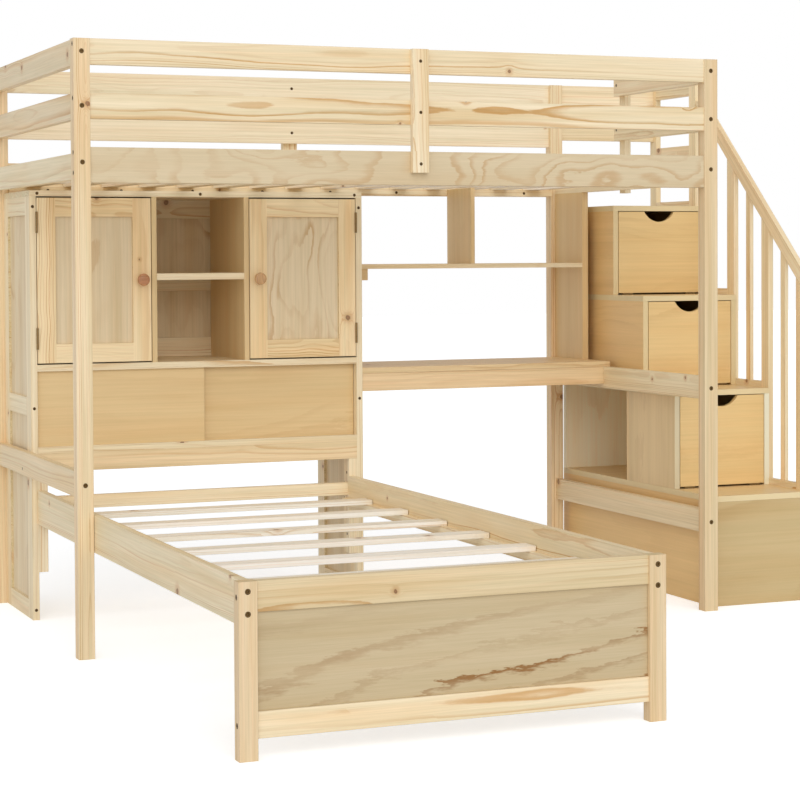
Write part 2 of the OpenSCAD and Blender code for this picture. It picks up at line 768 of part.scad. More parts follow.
module cabinet_back_panels() {
  y0 = back_y + (back_t - ply_t) / 2;
  piece(ply) for (i = [0 : 2])
    board(cab_in0 + back_frame_w, cab_in1 - back_frame_w, y0, y0 + ply_t, back_rail_z[i] + back_frame_w,
      back_rail_z[i + 1]);
}

// Frame of a door whose left edge is at x0, with the knob's hole at knob_x
module door_frame(x0, knob_x) {
  x1 = x0 + door_w;
  y1 = cab_y0 + door_t;
  difference() {
    union() {
      board(x0, x0 + door_frame_w, cab_y0, y1, door_z0, door_z1);
      board(x1 - door_frame_w, x1, cab_y0, y1, door_z0, door_z1);
      board(x0 + door_frame_w, x1 - door_frame_w, cab_y0, y1, door_z0, door_z0 + door_frame_w);
      board(x0 + door_frame_w, x1 - door_frame_w, cab_y0, y1, door_z1 - door_frame_w, door_z1);
    }
    translate([knob_x, cab_y0 - 1, knob_z]) aim("back")
      cylinder(h = 1 + spigot_l + 0.3, r = spigot_r + pin_gap);
  }
}

module door_panel(x0) {
  y0 = cab_y0 + (door_t - ply_t) / 2;
  board(x0 + door_frame_w, x0 + door_w - door_frame_w, y0, y0 + ply_t, door_z0 + door_frame_w,
    door_z1 - door_frame_w);
}

// Turned knob that stands in front of a door, with a spigot into the door
module knob(x) {
  translate([x, cab_y0, knob_z]) aim("front") rotate_extrude($fn = 48) polygon([
    [0, -spigot_l], [spigot_r, -spigot_l], [spigot_r, 0], [knob_r * 0.5, 0], [knob_r * 0.42, knob_l * 0.22],
    [knob_r * 0.5, knob_l * 0.42], [knob_r * 0.86, knob_l * 0.56], [knob_r, knob_l * 0.72],
    [knob_r * 0.94, knob_l * 0.88], [knob_r * 0.7, knob_l * 0.97], [knob_r * 0.3, knob_l], [0, knob_l]
  ]);
}

left_knob_x = left_door_x0 + door_w - door_frame_w / 2;
right_knob_x = right_door_x1 - door_w + door_frame_w / 2;

module door_left() {
  piece(pine_warm) door_frame(left_door_x0, left_knob_x);
}

module door_panel_left() {
  piece(ply) door_panel(left_door_x0);
}

module knob_left() {
  piece(knob_brown) knob(left_knob_x);
}

module door_right() {
  piece(pine_warm) door_frame(right_door_x1 - door_w, right_knob_x);
}

module door_panel_right() {
  piece(ply) door_panel(right_door_x1 - door_w);
}

module knob_right() {
  piece(knob_brown) knob(right_knob_x);
}

// Moving leaves of one door: side is 1 for the left door and -1 for the right one
module door_leaves(ax, side) {
  knuckle_l = hinge_l * 0.36;
  k0 = (hinge_l - knuckle_l) / 2;
  for (z = hinge_zs) translate([ax, hinge_ay, z]) scale_x(side) difference() {
    union() {
      board(hinge_gap / 2 - leaf_t, hinge_gap / 2, knuckle_r + run_gap, leaf_d, 0, hinge_l);
      board(hinge_gap / 2 - leaf_t, hinge_gap / 2, 0, knuckle_r + run_gap, k0, k0 + knuckle_l);
      translate([0, 0, k0]) cylinder(h = knuckle_l, r = knuckle_r);
    }
    translate([0, 0, -1]) cylinder(h = hinge_l + 2, r = hinge_pin_r + pin_gap);
  }
}

module scale_x(side) {
  if (side > 0) {
    children();
  } else {
    mirror([1, 0, 0]) children();
  }
}

module hinge_leaves_left() {
  piece(dark_metal) door_leaves(hinge_ax, 1);
}

module hinge_leaves_right() {
  piece(dark_metal) door_leaves(hinge_ax_r, -1);
}

// Fixed leaves and pins of one door
module door_frame_leaves(ax, side) {
  knuckle_l = hinge_l * 0.36;
  k0 = (hinge_l - knuckle_l) / 2;
  for (z = hinge_zs) translate([ax, hinge_ay, z]) scale_x(side) {
    board(-hinge_gap / 2, leaf_t - hinge_gap / 2, knuckle_r + run_gap, leaf_d, 0, hinge_l);
    for (s = [[0, k0 - knuckle_gap], [k0 + knuckle_l + knuckle_gap, hinge_l]]) {
      board(-hinge_gap / 2, leaf_t - hinge_gap / 2, 0, knuckle_r + run_gap, s[0], s[1]);
      translate([0, 0, s[0]]) cylinder(h = s[1] - s[0], r = knuckle_r);
    }
    cylinder(h = hinge_l, r = hinge_pin_r);
  }
}

module flap_frame_leaves(i) {
  knuckle_l = flap_hinge_l * 0.36;
  k0 = (flap_hinge_l - knuckle_l) / 2;
  for (x = [flap_x0 + flap_hinge_in, flap_x1 - flap_hinge_in - flap_hinge_l])
    translate([x, step_y[i] + flap_axis_in, tread_z[i - 1] + flap_axis_z]) {
      board(0, flap_hinge_l, flap_knuckle_r + run_gap, flap_leaf_d, -flap_axis_z,
        flap_leaf_t - flap_axis_z);
      for (s = [[0, k0 - knuckle_gap], [k0 + knuckle_l + knuckle_gap, flap_hinge_l]]) {
        board(s[0], s[1], 0, flap_knuckle_r + run_gap, -flap_axis_z, flap_leaf_t - flap_axis_z);
        translate([s[0], 0, 0]) aim("right") cylinder(h = s[1] - s[0], r = flap_knuckle_r);
      }
      aim("right") cylinder(h = flap_hinge_l, r = flap_pin_r);
    }
}

module hinge_frame_leaves() {
  piece(dark_metal) {
    door_frame_leaves(hinge_ax, 1);
    door_frame_leaves(hinge_ax_r, -1);
    for (i = [1 : 3]) flap_frame_leaves(i);
  }
}

module sliding_door_front() {
  x0 = cab_in0 + slide_edge;
  piece(laminate) board(x0, x0 + slide_w, slide_y[0], slide_y[0] + slide_t, slide_z0, slide_z1);
}

module sliding_door_rear() {
  x1 = cab_in1 - slide_edge;
  piece(laminate) board(x1 - slide_w, x1, slide_y[1], slide_y[1] + slide_t, slide_z0, slide_z1);
}

module sliding_tracks() {
  piece(pine) for (i = [0 : 2], z = [low_shelf_z, mid_shelf_z0 - strip_h])
    board(cab_in0, cab_in1, track_y[i], track_y[i] + track_w[i], z, z + strip_h);
}

module desk_top() {
  piece(pine) board(cab_x1, right_x1, cab_y0, inner_y1, desk_z0, desk_z);
}

module desk_apron() {
  y0 = cab_y0 + desk_apron_in;
  piece(pine) board(cab_x1, right_x0, y0, y0 + apron_t, desk_z0 - desk_apron_h, desk_z0);
}

module hutch_shelf() {
  piece(pine) board(cab_x1, right_x0, hutch_y0, inner_y1, hutch_shelf_z, hutch_shelf_z + hutch_t);
}

module hutch_boards() {
  cleat_y = hutch_y0 + 5;
  piece(pine) {
    board(right_x0, right_x1, hutch_y0, inner_y1, desk_z, end_board_z0);
    board(hutch_split_x, hutch_split_x + hutch_t, hutch_y0, back_batten_y, hutch_shelf_z + hutch_t,
      batten_z1);
    board(cab_x1, cab_x1 + cleat_l, cleat_y, cleat_y + cleat_t, hutch_shelf_z - cleat_h, hutch_shelf_z);
  }
}

module stair_sides() {
  piece(laminate) screwed(guard_screws) {
    for (x = [stair_x0, stair_in1]) {
      board(x, x + panel_t, step_y[0] + panel_t, stair_y1, 0, tread_z[0] - panel_t);
      for (i = [2, 3]) board(x, x + panel_t, step_y[i], stair_y1, tread_z[i - 1], tread_z[i] - panel_t);
    }
    board(stair_x0, stair_in0, step_y[1], cubby_y, tread_z[0], tread_z[1] - panel_t);
    board(stair_in1, stair_x1, step_y[1], stair_y1, tread_z[0], tread_z[1] - panel_t);
  }
}

module stair_treads() {
  piece(laminate) screwed(guard_screws) for (i = [0 : 3])
    board(stair_x0, stair_x1, step_y[i], stair_y1, tread_z[i] - panel_t, tread_z[i]);
}

module stair_panels() {
  back = stair_y1 - panel_t;
  piece(laminate) {
    board(stair_x0, stair_x1, step_y[0], step_y[0] + panel_t, 0, tread_z[0] - panel_t);
    board(stair_in0, stair_in1, back, stair_y1, 0, tread_z[0] - panel_t);
    board(stair_x0, stair_in1, cubby_y, cubby_y + panel_t, tread_z[0], tread_z[1] - panel_t);
    board(stair_x0, stair_in1, back, stair_y1, tread_z[0], tread_z[1] - panel_t);
    for (i = [2, 3]) board(stair_in0, stair_in1, back, stair_y1, tread_z[i - 1], tread_z[i] - panel_t);
  }
}

// Flap in front of box i, with a round finger cut-out in the middle of its upper edge
module flap(i) {
  z0 = tread_z[i - 1] + flap_bottom;
  z1 = tread_z[i] - panel_t - flap_gap;
  difference() {
    board(flap_x0, flap_x1, step_y[i], step_y[i] + flap_t, z0, z1);
    translate([(flap_x0 + flap_x1) / 2, step_y[i] - 1, z1 - grip_h + grip_r]) aim("back")
      cylinder(h = flap_t + 2, r = grip_r, $fn = 96);
  }
}

module flap_leaves(i) {
  knuckle_l = flap_hinge_l * 0.36;
  k0 = (flap_hinge_l - knuckle_l) / 2;
  for (x = [flap_x0 + flap_hinge_in, flap_x1 - flap_hinge_in - flap_hinge_l])
    translate([x + k0, step_y[i] + flap_axis_in, tread_z[i - 1] + flap_axis_z]) difference() {
      union() {
        board(0, knuckle_l, 0, flap_leaf_d, flap_bottom - flap_axis_z - flap_leaf_t,
          flap_bottom - flap_axis_z);
        aim("right") cylinder(h = knuckle_l, r = flap_knuckle_r);
      }
      translate([-1, 0, 0]) aim("right") cylinder(h = knuckle_l + 2, r = flap_pin_r + pin_gap);
    }
}

module flap_low() {
  piece(laminate) flap(1);
}

module flap_mid() {
  piece(laminate) flap(2);
}

module flap_top() {
  piece(laminate) flap(3);
}

module flap_leaves_low() {
  piece(dark_metal) flap_leaves(1);
}

module flap_leaves_mid() {
  piece(dark_metal) flap_leaves(2);
}

module flap_leaves_top() {
  piece(dark_metal) flap_leaves(3);
}

// Height of the handrail's lower edge at depth y
function under_hand(y) = hand_z0 - hand_v + hand_slope * (y - hand_y0);

// Upright of the stair guard from z0 up to the handrail
module sloped_upright(y0, y1, z0, thick) {
  translate([guard_x0 + (guard_t - thick) / 2, 0, 0]) rotate([90, 0, 90]) linear_extrude(thick)
    polygon([[y0, z0], [y1, z0], [y1, under_hand(y1)], [y0, under_hand(y0)]]);
}

module stair_posts() {
  piece(pine) screwed(guard_screws) {
    for (i = [0 : 2]) sloped_upright(post_y[i], post_y[i] + guard_post_w, foot_z0[max(0, i - 1)], guard_t);
    board(guard_x0, guard_x1, post_y[3], post_y[3] + guard_post_w, foot_z0[2], loft_h);
    board(guard_x0, guard_x1, back_post_y, stair_y1, foot_z0[3], loft_h);
  }
}

module balusters() {
  piece(pine) for (i = [0 : 2]) {
    mid = (post_y[i] + guard_post_w + post_y[i + 1]) / 2;
    sloped_upright(mid - baluster_w / 2, mid + baluster_w / 2, foot_z0[i] + guard_rail_h, baluster_t);
  }
}

module handrail() {
  piece(pine) translate([guard_x0, 0, 0]) rotate([90, 0, 90]) linear_extrude(guard_t) polygon([
    [hand_y0, hand_z0 - hand_v], [hand_y1, hand_z1 - hand_v], [hand_y1, level_z], [level_y, level_z],
      [hand_y0, hand_z0]
  ]);
}

module stair_guard_rails() {
  after = post_y[3] + guard_post_w;
  piece(pine) screwed(guard_screws) {
    for (i = [0 : 2])
      board(guard_x0, guard_x1, post_y[i] + guard_post_w, post_y[i + 1], foot_z0[i],
        foot_z0[i] + guard_rail_h);
    for (z = [foot_z0[3], loft_h - guard_mid_drop - guard_rail_h, loft_h - guard_rail_h])
      board(guard_x0, guard_x1, after, back_post_y, z, z + guard_rail_h);
    board(loft_l, guard_x0, back_y0, back_y1, top_z0, loft_h);
    board(loft_l, guard_x0, back_y0, back_y1, mid_z1 - guard_rail_h, mid_z1);
    for (z = back_peg_z) translate([loft_l - peg_l, back_cy, z]) aim("right")
      cylinder(h = peg_l + 1, r = peg_r);
  }
}

module bed_posts() {
  piece(pine) bolted(concat(bed_face_bolts, foot_bolts)) for (x = [bed_x0, bed_in1])
    board(x, x + bed_post_w, bed_y0, bed_y1, 0, bed_h);
}

module bed_foot_rails() {
  y0 = foot_cy - foot_rail_t / 2;
  piece(pine) bolted(foot_bolts) {
    board(bed_in0, bed_in1, y0, y0 + foot_rail_t, foot_top_z, bed_h);
    board(bed_in0, bed_in1, y0, y0 + foot_rail_t, foot_z, foot_low_z1);
  }
}

module bed_foot_panel() {
  y0 = foot_cy - foot_panel_t / 2;
  piece(ply) board(bed_in0, bed_in1, y0, y0 + foot_panel_t, foot_low_z1, foot_top_z);
}

module bed_side_rails() {
  piece(pine) bolted(bed_face_bolts) for (x = bed_rail_x)
    board(x, x + bed_rail_t, bed_y1, cab_y0, bed_rail_z, bed_h);
}

module bed_slats() {
  y_step = (last_slat_y - first_slat_y) / (bed_slat_count - 1);
  piece(pine) for (i = [0 : bed_slat_count - 1]) {
    yc = first_slat_y + i * y_step;
    board(bed_rail_in0 + 2, bed_rail_in1 - 2, yc - bed_slat_w / 2, yc + bed_slat_w / 2, bed_batten_z,
      bed_slat_z);
  }
}

module bed_head() {
  rail_z = head_rail_z + head_rail_h / 2;
  x0 = cab_in0 + block_w;
  x1 = cab_in1 - block_w;
  head_y1 = cab_y0 + bed_rail_t;
  piece(pine) {
    screwed(block_screws) bolted(bed_face_bolts) difference() {
      union() {
        board(cab_in0, x0, cab_y0, block_y1, block_z, apron_z0);
        board(x1, cab_in1, cab_y0, block_y1, block_z, apron_z0);
      }
      translate([x0 - 9, cab_y0 + bed_rail_t / 2, rail_z]) aim("right")
        cylinder(h = x1 - x0 + 18, r = peg_r + fix_gap);
    }
    board(x0 + glue_gap, x1 - glue_gap, cab_y0, head_y1, head_rail_z, head_rail_z + head_rail_h);
    translate([x0 - 8, cab_y0 + bed_rail_t / 2, rail_z]) aim("right") cylinder(h = x1 - x0 + 16, r = peg_r);
  }
}

module frame_bolts() {
  piece(dark_metal) for (f = concat(end_bolts, side_bolts, bed_face_bolts, foot_bolts))
    translate([f[0], f[1], f[2]]) aim(f[3]) bolt(f[4]);
}

module wood_screws() {
  all_screws = concat(front_stile_screws, back_stile_screws, entry_screws, front_batten_screws,
    back_batten_screws, side_screws, top_screws, low_rail_screw, block_screws, guard_screws);
  piece(steel) for (f = all_screws) translate([f[0], f[1], f[2]]) aim(f[3]) screw(f[4]);
}

loft_posts();
guard_rails_front();
side_board_front();
guard_rails_back();
side_board_back();
guard_stiles();
end_rails_left();
end_rails_right();
end_boards();
end_stile_right();
low_rails();
desk_rail();
slat_battens();
loft_slats();
cabinet_sides();
cabinet_side_panels();
cabinet_top();
cabinet_shelves();
cabinet_apron();
cabinet_dividers();
bay_shelf();
cabinet_back_frame();
cabinet_back_panels();
door_left();
door_panel_left();
knob_left();
hinge_leaves_left();
door_right();
door_panel_right();
knob_right();
hinge_leaves_right();
sliding_door_front();
sliding_door_rear();
sliding_tracks();
hinge_frame_leaves();
desk_top();
desk_apron();
hutch_shelf();
hutch_boards();
stair_sides();
stair_treads();
stair_panels();
flap_low();
flap_mid();
flap_top();
flap_leaves_low();
flap_leaves_mid();
flap_leaves_top();
stair_posts();
balusters();
handrail();
stair_guard_rails();
bed_posts();
bed_foot_rails();
bed_foot_panel();
bed_side_rails();
bed_slats();
bed_head();
frame_bolts();
wood_screws();
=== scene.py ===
import itertools
import math

import bpy
from mathutils import Matrix, Vector


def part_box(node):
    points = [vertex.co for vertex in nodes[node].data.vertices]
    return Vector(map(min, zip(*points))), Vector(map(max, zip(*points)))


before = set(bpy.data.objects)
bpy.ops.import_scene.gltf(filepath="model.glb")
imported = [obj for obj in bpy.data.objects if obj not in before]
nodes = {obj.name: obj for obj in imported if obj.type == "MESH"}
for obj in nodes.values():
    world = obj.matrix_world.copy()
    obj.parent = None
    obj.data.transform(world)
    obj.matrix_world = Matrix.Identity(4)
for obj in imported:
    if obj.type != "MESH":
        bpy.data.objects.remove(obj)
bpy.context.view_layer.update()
scene = bpy.context.scene


class Graph:
    """Short calls that add and join the shader nodes of one tree."""

    def __init__(self, tree):
        self.tree = tree

    def add(self, kind, **settings):
        node = self.tree.nodes.new(kind)
        for name, value in settings.items():
            setattr(node, name, value)
        return node

    def put(self, socket, value):
        if isinstance(value, bpy.types.NodeSocket):
            self.tree.links.new(value, socket)
        elif value is not None:
            socket.default_value = value

    def math(self, operation, *values, clamp=False):
        node = self.add("ShaderNodeMath", operation=operation, use_clamp=clamp)
        for socket, value in zip(node.inputs, values):
            self.put(socket, value)
        return node.outputs[0]

    def vector(self, operation, *values):
        node = self.add("ShaderNodeVectorMath", operation=operation)
        for socket, value in zip(node.inputs, values):
            self.put(socket, value)
        return node.outputs["Value" if operation in ("LENGTH", "DOT_PRODUCT") else "Vector"]

    def join(self, x, y, z):
        node = self.add("ShaderNodeCombineXYZ")
        for socket, value in zip(node.inputs, (x, y, z)):
            self.put(socket, value)
        return node.outputs[0]

    def split(self, value):
        node = self.add("ShaderNodeSeparateXYZ")
        self.put(node.inputs[0], value)
        return node.outputs

    def mix(self, factor, a, b, blend="MIX"):
        """One colour between a and b, or a multiplied by b."""
        node = self.add("ShaderNodeMix", data_type="RGBA", blend_type=blend)
        self.put(node.inputs["Factor"], factor)
        self.put(node.inputs[6], a)
        self.put(node.inputs[7], b)
        return node.outputs[2]

    def noise(self, place, stretch, detail=2.0, roughness=0.5):
        """A soft pattern with stretch waves per metre along X, Y and Z."""
        node = self.add("ShaderNodeTexNoise", noise_dimensions="3D")
        self.put(node.inputs["Vector"], self.vector("MULTIPLY", place, stretch))
        self.put(node.inputs["Scale"], 1.0)
        self.put(node.inputs["Detail"], detail)
        self.put(node.inputs["Roughness"], roughness)
        return node.outputs["Fac"]

    def step(self, value, low, high):
        """0 below low, 1 above high and a smooth rise between."""
        node = self.add("ShaderNodeMapRange", interpolation_type="SMOOTHSTEP")
        self.put(node.inputs["Value"], value)
        self.put(node.inputs["From Min"], low)
        self.put(node.inputs["From Max"], high)
        return node.outputs["Result"]

    def dice(self, number):
        """Four chance values from 0 to 1 for a number."""
        node = self.add("ShaderNodeTexWhiteNoise", noise_dimensions="1D")
        self.put(node.inputs["W"], number)
        parts = self.add("ShaderNodeSeparateColor")
        self.put(parts.inputs[0], node.outputs["Color"])
        return (*parts.outputs[:3], node.outputs["Value"])


def colour(red, green, blue):
    """Linear colour of an sRGB one given from 0 to 255."""
    def linear(c):
        c /= 255.0
        return c / 12.92 if c <= 0.04045 else ((c + 0.055) / 1.055) ** 2.4
    return (linear(red), linear(green), linear(blue), 1.0)


# What a board's figure takes. Board is the place along, across and through the board, and Number sets boards apart.
# Lengths are in metres, and Run and Spread in waves per metre along and across the board.
FIGURE_INPUTS = {
    "Board": (0.0, 0.0, 0.0), "Number": 0.0, "End": 0.0,
    "Early": (0.8, 0.65, 0.42, 1), "Late": (0.6, 0.38, 0.16, 1), "Warm": (0.75, 0.5, 0.25, 1),
    "Ring": 0.005, "Pith": 0.06, "Aim": 0.08, "Wave": 0.02, "Jag": 0.002, "Line": 0.3, "Run": 1.4, "Spread": 3.0,
    "Slant": 0.0, "Tilt": 0.0, "Contrast": 0.6, "Streak": 0.1, "Band": 0.1, "Fibre": 0.06, "Vary": 0.05, "Knots": 0.3,
    "Blush": 0.3,
}
KNOT_CELLS = 5.2
KNOT_HALO, KNOT_EYE, KNOT_RIM = colour(205, 152, 96), colour(150, 104, 68), colour(112, 70, 40)


def build_figure():
    """Growth rings, knots, streaks and fibres of a sawn board, as one group of nodes."""
    tree = bpy.data.node_groups.new("pine figure", "ShaderNodeTree")
    face = tree.interface
    for name, value in FIGURE_INPUTS.items():
        kind = {float: "Float", 3: "Vector", 4: "Color"}[float if isinstance(value, float) else len(value)]
        face.new_socket(name, in_out="INPUT", socket_type="NodeSocket" + kind).default_value = value
    for name, kind in (("Color", "Color"), ("Height", "Float"), ("Shine", "Float")):
        face.new_socket(name, in_out="OUTPUT", socket_type="NodeSocket" + kind)
    g = Graph(tree)
    given = g.add("NodeGroupInput").outputs
    out = g.add("NodeGroupOutput").inputs
    r1, r2, r3, r4 = g.dice(given["Number"])
    r5, r6, _, _ = g.dice(g.math("ADD", given["Number"], 0.377))

    along, across, through = g.split(given["Board"])
    place = g.join(
        g.math("MULTIPLY_ADD", r1, 40.0, along), g.math("MULTIPLY_ADD", r2, 9.0, across),
        g.math("MULTIPLY_ADD", r3, 5.0, through))

    # Knots
    knot = g.add("ShaderNodeTexVoronoi", voronoi_dimensions="2D", feature="F1")
    knot_place = g.join(
        g.math("MULTIPLY_ADD", r2, 23.0, along),
        g.math("MULTIPLY_ADD", r1, 31.0, g.math("MULTIPLY_ADD", through, 0.35, across)), 0.0)
    g.put(knot.inputs["Vector"], knot_place)
    g.put(knot.inputs["Scale"], KNOT_CELLS)
    g.put(knot.inputs["Randomness"], 1.0)
    lot = g.add("ShaderNodeSeparateColor")
    g.put(lot.inputs[0], knot.outputs["Color"])
    wobbly = g.math("MULTIPLY_ADD", g.noise(place, (110.0, 160.0, 110.0), 2.0), 0.007, -0.0035)
    away = g.math("ADD", g.math("DIVIDE", knot.outputs["Distance"], KNOT_CELLS), wobbly)
    there = g.math("LESS_THAN", lot.outputs[0], given["Knots"])
    size = g.math("MULTIPLY_ADD", lot.outputs[1], 0.006, 0.003)
    reach = g.math("DIVIDE", away, size)
    core = g.math("MULTIPLY", g.math("SUBTRACT", 1.0, g.step(reach, 0.7, 1.2)), there)
    halo = g.math("MULTIPLY", g.math("SUBTRACT", 1.0, g.step(reach, 0.8, 3.6)), there)
    near = g.math("DIVIDE", away, g.math("MULTIPLY", size, 2.2))
    push = g.math("DIVIDE", g.math("MULTIPLY", size, 2.0), g.math("MULTIPLY_ADD", near, near, 1.0))
    swell = g.math("MULTIPLY", there, push)

    # Growth rings round a pith that lies at a different depth in each board
    stretch = g.join(given["Run"], given["Spread"], given["Spread"])
    lift = g.math("MULTIPLY", g.math("SUBTRACT", g.noise(place, stretch, 2.0, 0.5), 0.5), given["Wave"])
    jag = g.math("MULTIPLY", g.math("SUBTRACT", g.noise(place, (16.0, 75.0, 75.0), 3.0, 0.65), 0.5), given["Jag"])
    aside = g.math("SUBTRACT", across, g.math("MULTIPLY", g.math("SUBTRACT", r2, 0.5), given["Aim"]))
    deep = g.math("ADD", through, g.math("MULTIPLY", given["Pith"], g.math("MULTIPLY_ADD", r3, 1.5, 0.35)))
    radius = g.vector("LENGTH", g.join(aside, deep, 0.0))
    radius = g.math("MULTIPLY_ADD", across, given["Slant"], g.math("MULTIPLY_ADD", along, given["Tilt"], radius))
    radius = g.math("ADD", g.math("ADD", radius, lift), g.math("ADD", jag, swell))
    turns = g.math("DIVIDE", radius, g.math("MULTIPLY", given["Ring"], g.math("MULTIPLY_ADD", r5, 0.9, 0.65)))
    breath = g.add("ShaderNodeTexNoise", noise_dimensions="1D")
    g.put(breath.inputs["W"], g.math("MULTIPLY_ADD", turns, 0.27, g.math("MULTIPLY", r6, 50.0)))
    g.put(breath.inputs["Scale"], 1.0)
    g.put(breath.inputs["Detail"], 1.0)
    turns = g.math("MULTIPLY_ADD", breath.outputs["Fac"], 3.2, turns)
    part = g.math("FRACT", turns)
    late = g.math("MULTIPLY", g.step(part, given["Line"], 0.9), g.math("SUBTRACT", 1.0, g.step(part, 0.92, 1.0)))
    whole = g.add("ShaderNodeTexWhiteNoise", noise_dimensions="1D")
    g.put(whole.inputs["W"], g.math("ADD", g.math("FLOOR", turns), given["Number"]))
    strength = g.math("MULTIPLY_ADD", g.math("MULTIPLY", whole.outputs["Value"], whole.outputs["Value"]), 0.8, 0.2)
    fade = g.math("MULTIPLY_ADD", g.step(g.noise(place, (0.9, 10.0, 10.0), 2.0), 0.36, 0.62), 0.75, 0.25)
    late = g.math("MULTIPLY", g.math("MULTIPLY", late, strength), fade)

    # Streaks, soft bands and fibres along the grain
    streak = g.math("SUBTRACT", g.noise(place, (1.7, 130.0, 130.0), 2.0, 0.6), 0.5)
    band = g.math("SUBTRACT", g.noise(place, (0.7, 26.0, 26.0), 1.0, 0.5), 0.5)
    fibre = g.math("SUBTRACT", g.noise(place, (9.0, 430.0, 430.0), 2.0, 0.6), 0.5)
    cloud = g.step(g.noise(place, (1.3, 16.0, 16.0), 2.0, 0.55), 0.36, 0.8)

    wood = g.mix(g.math("MULTIPLY", cloud, given["Blush"]), given["Early"], given["Warm"])
    wood = g.mix(g.math("MULTIPLY", late, given["Contrast"], clamp=True), wood, given["Late"])
    gain = g.math("ADD", 1.0, g.math("MULTIPLY", streak, given["Streak"]))
    gain = g.math("ADD", gain, g.math("MULTIPLY", band, given["Band"]))
    gain = g.math("ADD", gain, g.math("MULTIPLY", fibre, given["Fibre"]))
    gain = g.math("ADD", gain, g.math("MULTIPLY", g.math("SUBTRACT", r4, 0.5), given["Vary"]))
    gain = g.math("SUBTRACT", gain, g.math("MULTIPLY", given["End"], 0.14))
    blue = g.math("MULTIPLY_ADD", g.math("SUBTRACT", gain, 1.0), 1.5, 1.0)
    wood = g.mix(1.0, wood, g.join(gain, gain, blue), "MULTIPLY")
    wood = g.mix(g.math("MULTIPLY", halo, 0.5), wood, KNOT_HALO)
    eye = g.mix(g.step(reach, 0.2, 0.95), KNOT_EYE, KNOT_RIM)
    wood = g.mix(g.math("MULTIPLY", core, 0.8), wood, eye)
    g.put(out["Color"], wood)
    height = g.math("ADD", g.math("MULTIPLY", late, 0.5), g.math("MULTIPLY", fibre, 0.8))
    g.put(out["Height"], g.math("SUBTRACT", height, g.math("MULTIPLY", core, 0.3)))
    g.put(out["Shine"], g.math("ADD", g.math("MULTIPLY", fibre, 0.16), g.math("MULTIPLY", late, -0.05)))
    return tree


figure = build_figure()

# Looks: clear pine, plywood and veneered board
PINE = dict(
    early=colour(245, 228, 193), late=colour(207, 157, 90), warm=colour(236, 201, 146),
    ring=0.0052, pith=0.055, aim=0.08, wave=0.034, jag=0.0016, line=0.5, run=1.2, spread=3.4, contrast=1.0,
    streak=0.34, band=0.20, fibre=0.20, vary=0.06, knots=0.26, blush=0.6, rough=0.46, coat=0.08,
)
FINE_PINE = dict(
    PINE, early=colour(245, 224, 186), late=colour(211, 158, 96), warm=colour(238, 198, 144),
    ring=0.0036, pith=0.045, wave=0.016, contrast=1.0, streak=0.46, knots=0.08, blush=0.65,
)
DOOR_PINE = dict(
    PINE, early=colour(247, 224, 180), late=colour(204, 146, 74), warm=colour(238, 194, 130), ring=0.0066, wave=0.036,
    run=3.0, contrast=1.15, knots=0.1,
)
PLYWOOD = dict(
    PINE, early=colour(222, 203, 168), late=colour(168, 126, 78), warm=colour(208, 180, 136),
    ring=0.03, pith=1.4, aim=0.3, wave=0.42, jag=0.016, line=0.62, run=1.1, spread=3.6, contrast=0.55,
    knots=0.0, vary=0.03, streak=0.10, band=0.05, blush=0.45,
)
DOOR_PANEL = dict(
    PLYWOOD, early=colour(230, 210, 174), contrast=0.8, late=colour(190, 144, 82), warm=colour(214, 182, 130),
    streak=0.30, band=0.16, ring=0.05, run=2.2, spread=6.0, wave=0.3, line=0.5, blush=0.6,
)
FOOT_PANEL = dict(
    PLYWOOD, early=colour(205, 186, 149), late=colour(150, 106, 54), warm=colour(190, 162, 112), contrast=1.25,
    ring=0.044, slant=0.8, tilt=-0.15, wave=0.14, jag=0.04, line=0.6, streak=0.16, band=0.14,
)
BOARD = dict(
    PINE, early=colour(230, 201, 150), late=colour(196, 148, 84), warm=colour(222, 182, 122),
    ring=0.02, pith=1.2, aim=0.4, wave=0.12, jag=0.008, line=0.4, run=0.9, spread=3.0, contrast=0.36, knots=0.0,
    streak=0.16, band=0.14, fibre=0.10, vary=0.03, blush=0.45, rough=0.42,
)
GUARD_PINE = dict(FINE_PINE, early=colour(251, 233, 194), contrast=0.7)
TURNED = dict(
    PINE, ring=0.0026, pith=0.03, wave=0.012, run=14.0, spread=14.0, contrast=1.3, line=0.4, streak=0.5,
    knots=0.0, rough=0.24, coat=0.6,
)
# A pale band on the edges of veneered boards, and how much of the wood shows through it
EDGE_BAND, BAND_WOOD = colour(240, 224, 180), 0.35
# Eased edges: their radius, where they begin and end, and how much paler they are painted, a painted highlight along
# them
SOFT_EDGE, EDGE_RANGE, EDGE_HIGHLIGHT = 0.0022, (0.72, 0.995), 0.25
# From these values on, a face counts as a board's end
END_FACE = (0.8, 0.95)
# Strength and depth of the fine relief
WOOD_RELIEF, METAL_RELIEF = (0.35, 0.0004), (0.2, 0.0002)
LACQUER_IOR = 1.46
# Steps between the numbers that set nodes, crossing boards and neighbouring boards apart
NODE_STEP, CROSS_STEP, BOARD_STEPS = 3.37, 71.3, (1.7, 17.3, 41.9)
# Boards whose middles are nearer than the first are in line, and spacings that differ less than the second are even
IN_LINE, EVEN_SPACING = 0.012, 0.004
BOARD_MARGIN, TINT_MARGIN = 0.0002, 0.0004
GRAIN = {"x": (1.0, 0.0, 0.0), "y": (0.0, 1.0, 0.0), "z": (0.0, 0.0, 1.0)}


